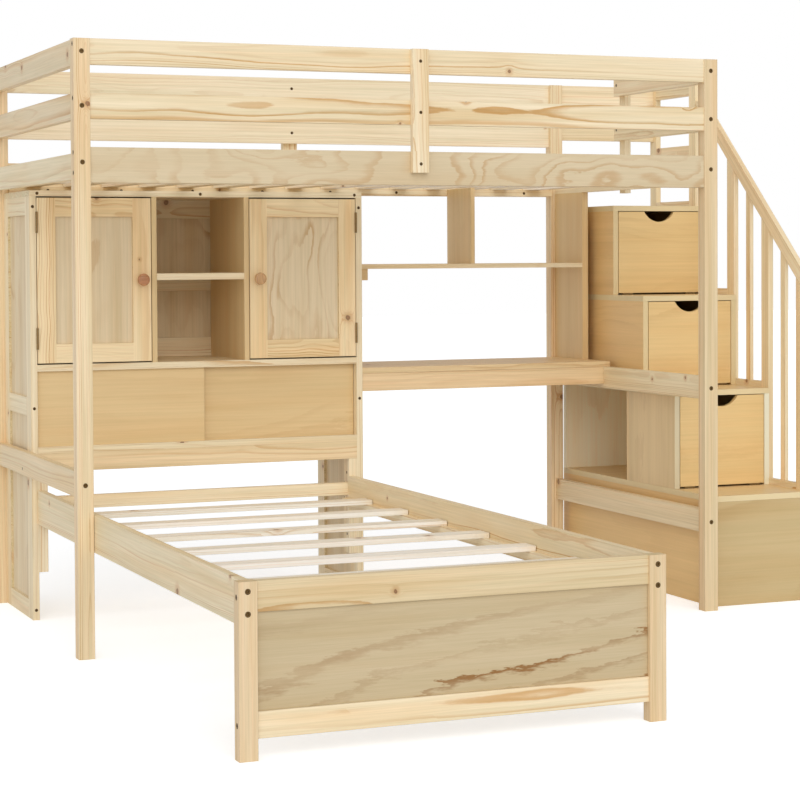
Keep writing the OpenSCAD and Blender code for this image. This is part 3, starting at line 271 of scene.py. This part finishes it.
def islands(node):
    """The boxes of a node's separate boards, each as (low corner, high corner)."""
    mesh = nodes[node].data
    place, owner = {}, []
    for v in mesh.vertices:
        owner.append(place.setdefault(tuple(round(c, 5) for c in v.co), len(place)))
    parent = list(range(len(place)))

    def root(i):
        while parent[i] != i:
            parent[i] = parent[parent[i]]
            i = parent[i]
        return i

    for face in mesh.polygons:
        corners = [root(owner[v]) for v in face.vertices]
        for c in corners[1:]:
            parent[root(c)] = corners[0]
    boxes = {}
    for where, i in place.items():
        low, high = boxes.setdefault(root(i), (list(where), list(where)))
        for a in range(3):
            low[a] = min(low[a], where[a])
            high[a] = max(high[a], where[a])
    return sorted(boxes.values())


def centres(boxes, axis):
    """Middles of the boards along one axis, without repeats."""
    found = []
    for low, high in boxes:
        middle = (low[axis] + high[axis]) / 2
        if all(abs(middle - f) > IN_LINE for f in found):
            found.append(middle)
    return sorted(found)


def board_space(g, here, along, face, middles, number):
    """The place along, across and through each board, and the board's own number."""
    local = {}
    for weight, axis in zip(BOARD_STEPS, "xyz"):
        spot = here[axis]
        if axis != along:
            at = middles["xyz".index(axis)]
            steps = [b - a for a, b in zip(at, at[1:])]
            if len(steps) > 3 and max(steps) - min(steps) < EVEN_SPACING:
                step = (at[-1] - at[0]) / len(steps)
                count = g.math("ROUND", g.math("DIVIDE", g.math("SUBTRACT", spot, at[0]), step))
                spot = g.math("SUBTRACT", g.math("SUBTRACT", spot, at[0]), g.math("MULTIPLY", count, step))
                number = g.math("MULTIPLY_ADD", count, weight, number)
            elif at:
                spot = g.math("SUBTRACT", spot, at[0])
                for a, b in zip(at, at[1:]):
                    past = g.math("GREATER_THAN", here[axis], (a + b) / 2)
                    spot = g.math("SUBTRACT", spot, g.math("MULTIPLY", past, b - a))
                    number = g.math("MULTIPLY_ADD", past, weight, number)
        local[axis] = spot
    across = next(a for a in "xyz" if a not in (along, face))
    return g.join(local[along], local[across], local[face]), number


def facing(boxes, along):
    """The axis that a board's wide face looks along."""
    low, high = boxes[0]
    others = [a for a in range(3) if "xyz"[a] != along]
    return "xyz"[min(others, key=lambda a: high[a] - low[a])]


def range_mask(g, here, boxes, margin):
    """1 inside the box round the boards, made larger by margin on each side, and 0 outside."""
    mask = 1.0
    for a, axis in enumerate("xyz"):
        low = min(b[0][a] for b in boxes) - margin
        high = max(b[1][a] for b in boxes) + margin
        middle, half = (low + high) / 2, (high - low) / 2
        inside = g.math("LESS_THAN", g.math("ABSOLUTE", g.math("SUBTRACT", here[axis], middle)), half)
        mask = inside if mask == 1.0 else g.math("MULTIPLY", mask, inside)
    return mask


node_numbers = itertools.count(1)


def squareness(g, normal, axis):
    """1 on a face that looks along the axis, and 0 on one that lies along it."""
    return g.math("ABSOLUTE", g.vector("DOT_PRODUCT", normal, GRAIN[axis]))


def soft_edges(g, radius, samples):
    """The rounded normal near edges, and how far it follows the flat face."""
    soft = g.add("ShaderNodeBevel", samples=samples)
    g.put(soft.inputs["Radius"], radius)
    geometry = g.add("ShaderNodeNewGeometry")
    return soft.outputs[0], g.vector("DOT_PRODUCT", soft.outputs[0], geometry.outputs["True Normal"])


def relief(g, amount, height, normal):
    """A shallow unevenness over a normal. amount is its strength and its depth."""
    bump = g.add("ShaderNodeBump")
    g.put(bump.inputs["Strength"], amount[0])
    g.put(bump.inputs["Distance"], amount[1])
    g.put(bump.inputs["Height"], height)
    g.put(bump.inputs["Normal"], normal)
    return bump.outputs[0]


def new_graph(name):
    """An empty material and the calls for its nodes."""
    material = bpy.data.materials.new(name)
    material.use_nodes = True
    material.node_tree.nodes.clear()
    return material, Graph(material.node_tree)


def wood(node, along, look, second=None, parts=None, second_parts=None, face=None, tints_and_painted_light=(), lean=0.0, banded="",
         **changes):
    """Gives a wooden node its own boards' grain along one axis, and along a second one for boards that lie so.

    parts and second_parts are those boards' boxes, and face is the axis that their wide faces look along.
    tints_and_painted_light are pairs of a board's box and the colour that its wood is multiplied by; some of them
    lighten or darken a board as painted light or painted shade in place of lighting. lean turns the grain about X.
    banded names the axes along which the boards' thin edges look, where they have a pale edge band.
    """
    look = dict(look, **changes)
    material, g = new_graph(node.replace("_", " ") + " wood")
    coordinates = g.add("ShaderNodeTexCoord")
    place, normal = coordinates.outputs["Object"], coordinates.outputs["Normal"]
    if lean:
        turn = g.add("ShaderNodeVectorRotate", rotation_type="X_AXIS")
        g.put(turn.inputs["Vector"], place)
        g.put(turn.inputs["Angle"], lean)
        place = turn.outputs[0]
    x, y, z = g.split(place)
    here = {"x": x, "y": y, "z": z}
    boxes = parts if parts is not None else islands(node)
    long_axis = [max(range(3), key=lambda a: b[1][a] - b[0][a]) for b in boxes]
    mine = [b for b, a in zip(boxes, long_axis) if "xyz"[a] == along] if second and parts is None else boxes
    number = next(node_numbers) * NODE_STEP
    spot, own = board_space(
        g, here, along, face or facing(mine, along), [centres(mine, a) for a in range(3)], number)
    end = squareness(g, normal, along)
    if second:
        theirs = second_parts or [b for b, a in zip(boxes, long_axis) if "xyz"[a] == second]
        spot2, own2 = board_space(
            g, here, second, facing(theirs, second), [centres(theirs, a) for a in range(3)], number + CROSS_STEP)
        end2 = squareness(g, normal, second)
        mask = range_mask(g, here, theirs, BOARD_MARGIN)
        blend = g.add("ShaderNodeMix", data_type="VECTOR")
        g.put(blend.inputs["Factor"], mask)
        g.put(blend.inputs[4], spot)
        g.put(blend.inputs[5], spot2)
        spot = blend.outputs[1]
        keep = g.math("SUBTRACT", 1.0, mask)
        own = g.math("ADD", g.math("MULTIPLY", own, keep), g.math("MULTIPLY", own2, mask))
        end = g.math("ADD", g.math("MULTIPLY", end, keep), g.math("MULTIPLY", end2, mask))
    grain = g.add("ShaderNodeGroup", node_tree=figure)
    g.put(grain.inputs["Board"], spot)
    g.put(grain.inputs["Number"], own)
    g.put(grain.inputs["End"], g.step(end, *END_FACE))
    for name in FIGURE_INPUTS:
        if name.lower() in look:
            g.put(grain.inputs[name], look[name.lower()])
    soft, turned = soft_edges(g, SOFT_EDGE, 4)
    # Edges are painted paler, towards the early wood colour, as a painted highlight.
    edge = g.math("SUBTRACT", 1.0, g.step(turned, *EDGE_RANGE))
    tint = g.mix(g.math("MULTIPLY", edge, EDGE_HIGHLIGHT), grain.outputs["Color"], look["early"])
    for axis in banded:
        pale = g.mix(BAND_WOOD, EDGE_BAND, tint)
        tint = g.mix(g.step(squareness(g, normal, axis), *END_FACE), tint, pale)
    # Each box's colour multiplies its board's wood: some are a tone of the wood, and some are painted light or
    # painted shade.
    for tinted_board, tint_factor in tints_and_painted_light:
        tinted_wood = g.mix(1.0, tint, (*tint_factor, 1.0), "MULTIPLY")
        tint = g.mix(range_mask(g, here, [tinted_board], TINT_MARGIN), tint, tinted_wood)
    shader = g.add("ShaderNodeBsdfPrincipled")
    g.put(shader.inputs["Base Color"], tint)
    g.put(shader.inputs["Roughness"], g.math("ADD", look["rough"], grain.outputs["Shine"], clamp=True))
    shader.inputs["IOR"].default_value = LACQUER_IOR
    shader.inputs["Coat Weight"].default_value = look["coat"]
    shader.inputs["Coat Roughness"].default_value = 0.35 - 0.4 * look["coat"]
    g.put(shader.inputs["Normal"], relief(g, WOOD_RELIEF, grain.outputs["Height"], soft))
    g.put(g.add("ShaderNodeOutputMaterial").inputs["Surface"], shader.outputs[0])
    wear(node, material)


def wear(node, material):
    """Puts one material on all of a node."""
    slots = nodes[node].material_slots
    if not slots:
        nodes[node].data.materials.append(material)
    for slot in slots:
        slot.material = material


def metal(name, base, middle, edge, rough):
    """A dull metal with uneven tarnish, whose rim and recess are darker than its flat middle."""
    material, g = new_graph(name)
    place = g.add("ShaderNodeTexCoord").outputs["Object"]
    blotch = g.noise(place, (260.0, 260.0, 260.0), 4.0, 0.6)
    grit = g.noise(place, (1500.0, 1500.0, 1500.0), 2.0, 0.5)
    soft, turned = soft_edges(g, edge, 8)
    tint = g.mix(g.step(turned, 0.8, 0.99), base, middle)
    shade = g.math("MULTIPLY_ADD", blotch, 0.8, 0.6)
    tint = g.mix(1.0, tint, g.join(shade, shade, shade), "MULTIPLY")
    shader = g.add("ShaderNodeBsdfPrincipled")
    g.put(shader.inputs["Base Color"], tint)
    shader.inputs["Metallic"].default_value = 0.85
    g.put(shader.inputs["Roughness"], g.math("MULTIPLY_ADD", blotch, 0.3, rough - 0.15))
    g.put(shader.inputs["Normal"], relief(g, METAL_RELIEF, grit, soft))
    g.put(g.add("ShaderNodeOutputMaterial").inputs["Surface"], shader.outputs[0])
    return material


# Loft frame
right_post = min((b for b in islands("loft_posts") if b[0][0] > 0), key=lambda b: b[0][1])
wood("loft_posts", "z", FINE_PINE, face="y", tints_and_painted_light=[(right_post, (0.90, 0.885, 0.85))])
wood("guard_rails_front", "x", PINE)
wood("side_board_front", "x", PLYWOOD, late=colour(194, 150, 96), contrast=1.0, ring=0.045, line=0.5, run=2.0)
wood("guard_rails_back", "x", PINE, early=colour(250, 236, 207), warm=colour(244, 222, 184), contrast=0.6)
wood("side_board_back", "x", PINE)
wood("guard_stiles", "z", PINE)
# The left end rails' early colour is darker, painted shade of faces turned away from the key light.
wood("end_rails_left", "y", PINE, early=colour(237, 218, 183))
wood("end_rails_right", "y", PINE)
wood("end_boards", "y", PINE)
wood("end_stile_right", "z", PINE)
# The low rails' early colour is darker than the pine's, painted shadow of the cabinet over them.
wood("low_rails", "y", PINE, early=colour(237, 216, 178))
wood("desk_rail", "y", PINE)
wood("slat_battens", "x", PINE, second="y")
wood("loft_slats", "y", PINE, early=colour(250, 242, 226), warm=colour(244, 226, 196), contrast=0.6)

# Cabinet
wood("cabinet_sides", "z", PINE, second="y")
wood("cabinet_side_panels", "z", DOOR_PANEL, face="x")
wood("cabinet_top", "x", PINE)
wood("cabinet_shelves", "x", PINE)
wood("cabinet_apron", "x", PINE, early=colour(238, 214, 172), warm=colour(228, 188, 134))
wood("cabinet_dividers", "z", BOARD)
wood("bay_shelf", "x", PINE)
wood("cabinet_back_frame", "z", PINE, second="x")
wood("cabinet_back_panels", "z", DOOR_PANEL, face="y")
wood("sliding_door_front", "x", BOARD)
wood("sliding_door_rear", "x", BOARD)
wood("sliding_tracks", "x", PINE)


DOOR_STILE = 0.057


def door(node):
    """Stiles run up the door, and rails lie between them."""
    low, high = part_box(node)
    left = (list(low), [low.x + DOOR_STILE, high.y, high.z])
    right = ([high.x - DOOR_STILE, low.y, low.z], list(high))
    bottom = ([low.x + DOOR_STILE, low.y, low.z], [high.x - DOOR_STILE, high.y, low.z + DOOR_STILE])
    top = ([low.x + DOOR_STILE, low.y, high.z - DOOR_STILE], [high.x - DOOR_STILE, high.y, high.z])
    wood(node, "z", DOOR_PINE, second="x", parts=[left, right], second_parts=[bottom, top], face="y")


for side in ("left", "right"):
    door("door_" + side)
    wood("door_panel_" + side, "z", DOOR_PANEL)

# Desk and hutch
wood("desk_top", "x", PINE, early=colour(236, 208, 162), late=colour(186, 132, 74))
wood("desk_apron", "x", PINE, early=colour(238, 209, 164), late=colour(196, 142, 82), warm=colour(226, 184, 130))
wood("hutch_shelf", "x", PINE)
wood("hutch_boards", "z", BOARD, second="x")

# Stairs and their guard
SAME_LINE = 0.001
stair_walls = islands("stair_sides")
low_wall = min(stair_walls, key=lambda b: (b[1][1] - b[0][1]) * (b[1][2] - b[0][2]))
cubby_wall = next(b for b in stair_walls if b[0][0] > low_wall[1][0] and abs(b[0][2] - low_wall[0][2]) < SAME_LINE)
# The low wall is multiplied greyer and cooler, painted shade; the cubby's wall is multiplied much lighter and bluer,
# painted light inside the cubby.
wood("stair_sides", "y", BOARD, face="x", second="z", parts=stair_walls, second_parts=[low_wall, cubby_wall],
     early=colour(240, 203, 142), banded="y", tints_and_painted_light=[(low_wall, (0.88, 0.97, 1.16)), (cubby_wall, (1.1, 1.32, 1.8))])
wood("stair_treads", "x", BOARD, banded="xy")
stair_boards = islands("stair_panels")
stair_front = min(stair_boards, key=lambda b: b[0][1])
cubby_back = max((b for b in stair_boards if b[0][0] < stair_front[0][0] + SAME_LINE), key=lambda b: b[0][1])
# The cubby's back board is multiplied much lighter and bluer, painted light inside the cubby; the stair's front board
# is made darker and greyer.
wood("stair_panels", "z", BOARD, face="y", parts=stair_boards, second="x", second_parts=[stair_front],
     tints_and_painted_light=[(stair_front, (0.79, 0.81, 0.78)), (cubby_back, (1.3, 1.6, 2.3))])
for flap in ("low", "mid", "top"):
    wood("flap_" + flap, "x", BOARD, face="y", early=colour(240, 208, 148), warm=colour(230, 188, 122))
for guard in ("stair_posts", "balusters"):
    wood(guard, "z", GUARD_PINE, face="x")
# The handrail's longest edge gives its slope
rail = nodes["handrail"].data
rail_edges = [rail.vertices[e.vertices[1]].co - rail.vertices[e.vertices[0]].co for e in rail.edges]
rail_run = max(rail_edges, key=lambda run: run.length)
slope = math.atan(rail_run.z / rail_run.y)
rail_low, rail_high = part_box("handrail")
rail_middle = Matrix.Rotation(-slope, 3, "X") @ ((rail_low + rail_high) / 2)
wood("handrail", "y", GUARD_PINE, face="x", lean=-slope, parts=[(list(rail_middle), list(rail_middle))])
wood("stair_guard_rails", "y", PINE, second="x")

# Lower bed
wood("bed_posts", "z", FINE_PINE, face="y", early=colour(236, 213, 176))
foot_top = max(islands("bed_foot_rails"), key=lambda b: b[0][2])
wood("bed_foot_rails", "x", PINE, tints_and_painted_light=[(foot_top, (0.86, 0.82, 0.74))])
wood("bed_foot_panel", "x", FOOT_PANEL)
wood("bed_side_rails", "y", PINE, early=colour(241, 224, 188))
wood("bed_slats", "x", PINE, early=colour(252, 245, 232), warm=colour(246, 230, 204), contrast=0.5)
# The head rail ends in pegs, which are left out of its face
PEG_REACH = 0.0085
head_boards = islands("bed_head")
head_rail = max(head_boards, key=lambda b: b[1][0] - b[0][0])
head_rail_face = (
    [head_rail[0][0] + PEG_REACH, *head_rail[0][1:]],
    [head_rail[1][0] - PEG_REACH, *head_rail[1][1:]])
wood("bed_head", "z", PINE, second="x", parts=[b for b in head_boards if b is not head_rail],
     second_parts=[head_rail_face])

# Knobs and fittings
wood("knob_left", "x", TURNED, face="y",
     early=colour(206, 146, 98), late=colour(112, 62, 34), warm=colour(178, 112, 68))
wood("knob_right", "z", TURNED, face="y",
     early=colour(220, 174, 122), late=colour(140, 90, 50), warm=colour(198, 146, 94))
hinge_bronze = metal("aged hinge bronze", colour(70, 54, 36), colour(150, 124, 84), 0.0012, 0.45)
bolt_bronze = metal("antique bronze", colour(26, 19, 11), colour(118, 92, 56), 0.0022, 0.4)
screw_bronze = metal("bronzed screw steel", colour(30, 22, 13), colour(96, 74, 48), 0.0018, 0.42)
for leaves in ("hinge_frame_leaves", "hinge_leaves_left", "hinge_leaves_right",
               "flap_leaves_low", "flap_leaves_mid", "flap_leaves_top"):
    wear(leaves, hinge_bronze)
wear("frame_bolts", bolt_bronze)
wear("wood_screws", screw_bronze)


# Floor, light and camera
FLOOR_SIZE, FLOOR_GLOW = 60.0, 0.42
FLOOR_COLOUR, SKY_COLOUR, WHITE = (0.92, 0.93, 0.945, 1.0), (0.97, 0.985, 1.0, 1.0), (1.0, 1.0, 1.0, 1.0)
SKY_LIGHT = 0.56
CAMERA_PLACE = (-2.582, -5.582, 1.089)
CAMERA_YAW, CAMERA_DOWN, CAMERA_ROLL = math.radians(22.362), math.radians(1.6), math.radians(-0.308)
SENSOR, LENS, SHIFT = 36.0, 96.79, -0.1055


def pale_floor():
    """A plain floor that glows a little, but only for the camera."""
    bpy.ops.object.select_all(action="DESELECT")
    bpy.ops.mesh.primitive_plane_add(size=FLOOR_SIZE, location=(0.0, 0.0, 0.0))
    floor = bpy.context.object
    floor.name = "studio_floor"
    material = bpy.data.materials.new("pale floor")
    material.use_nodes = True
    shader = material.node_tree.nodes["Principled BSDF"]
    shader.inputs["Base Color"].default_value = FLOOR_COLOUR
    shader.inputs["Roughness"].default_value = 0.9
    shader.inputs["Emission Color"].default_value = WHITE
    g = Graph(material.node_tree)
    seen = g.add("ShaderNodeLightPath").outputs["Is Camera Ray"]
    g.put(shader.inputs["Emission Strength"], g.math("MULTIPLY", seen, FLOOR_GLOW))
    floor.data.materials.append(material)


def sun(name, azimuth, height, strength, spread, tone):
    """A broad light from one side. Azimuth 0 is straight in front, and positive is to the right."""
    data = bpy.data.lights.new(name, "SUN")
    data.energy = strength
    data.angle = math.radians(spread)
    data.color = tone
    lamp = bpy.data.objects.new(name, data)
    scene.collection.objects.link(lamp)
    a, h = math.radians(azimuth), math.radians(height)
    towards = Vector((-math.sin(a) * math.cos(h), math.cos(a) * math.cos(h), -math.sin(h)))
    lamp.rotation_euler = towards.to_track_quat("-Z", "Y").to_euler()


def studio():
    """Soft light from all round, a white backdrop for the camera, and two broad suns."""
    world = bpy.data.worlds.new("studio")
    world.use_nodes = True
    back = world.node_tree.nodes["Background"]
    back.inputs["Color"].default_value = SKY_COLOUR
    back.inputs["Strength"].default_value = SKY_LIGHT
    g = Graph(world.node_tree)
    plain = g.add("ShaderNodeBackground")
    plain.inputs["Color"].default_value = WHITE
    plain.inputs["Strength"].default_value = 1.0
    seen = g.add("ShaderNodeLightPath").outputs["Is Camera Ray"]
    both = g.add("ShaderNodeMixShader")
    g.put(both.inputs[0], seen)
    g.put(both.inputs[1], back.outputs[0])
    g.put(both.inputs[2], plain.outputs[0])
    g.put(world.node_tree.nodes["World Output"].inputs["Surface"], both.outputs[0])
    scene.world = world
    sun("key", azimuth=-6.0, height=31.0, strength=1.05, spread=50.0, tone=(1.0, 0.975, 0.94))
    sun("fill", azimuth=-60.0, height=20.0, strength=0.5, spread=60.0, tone=(1.0, 0.98, 0.95))
    scene.view_settings.view_transform = "Standard"


def place_camera():
    """The photograph's own angle, fitted to the bed's edges."""
    yaw, down, roll = CAMERA_YAW, CAMERA_DOWN, CAMERA_ROLL
    ahead = Vector((math.sin(yaw) * math.cos(down), math.cos(yaw) * math.cos(down), -math.sin(down)))
    side = Vector((math.cos(yaw), -math.sin(yaw), 0.0))
    up = side.cross(ahead)
    right = side * math.cos(roll) + up * math.sin(roll)
    over = -side * math.sin(roll) + up * math.cos(roll)
    turn = Matrix((right, over, -ahead)).transposed()
    data = bpy.data.cameras.new("studio camera")
    data.sensor_width = SENSOR
    data.lens = LENS
    data.shift_y = SHIFT
    camera = bpy.data.objects.new("studio camera", data)
    scene.collection.objects.link(camera)
    camera.matrix_world = Matrix.Translation(CAMERA_PLACE) @ turn.to_4x4()
    scene.camera = camera


pale_floor()
studio()
place_camera()
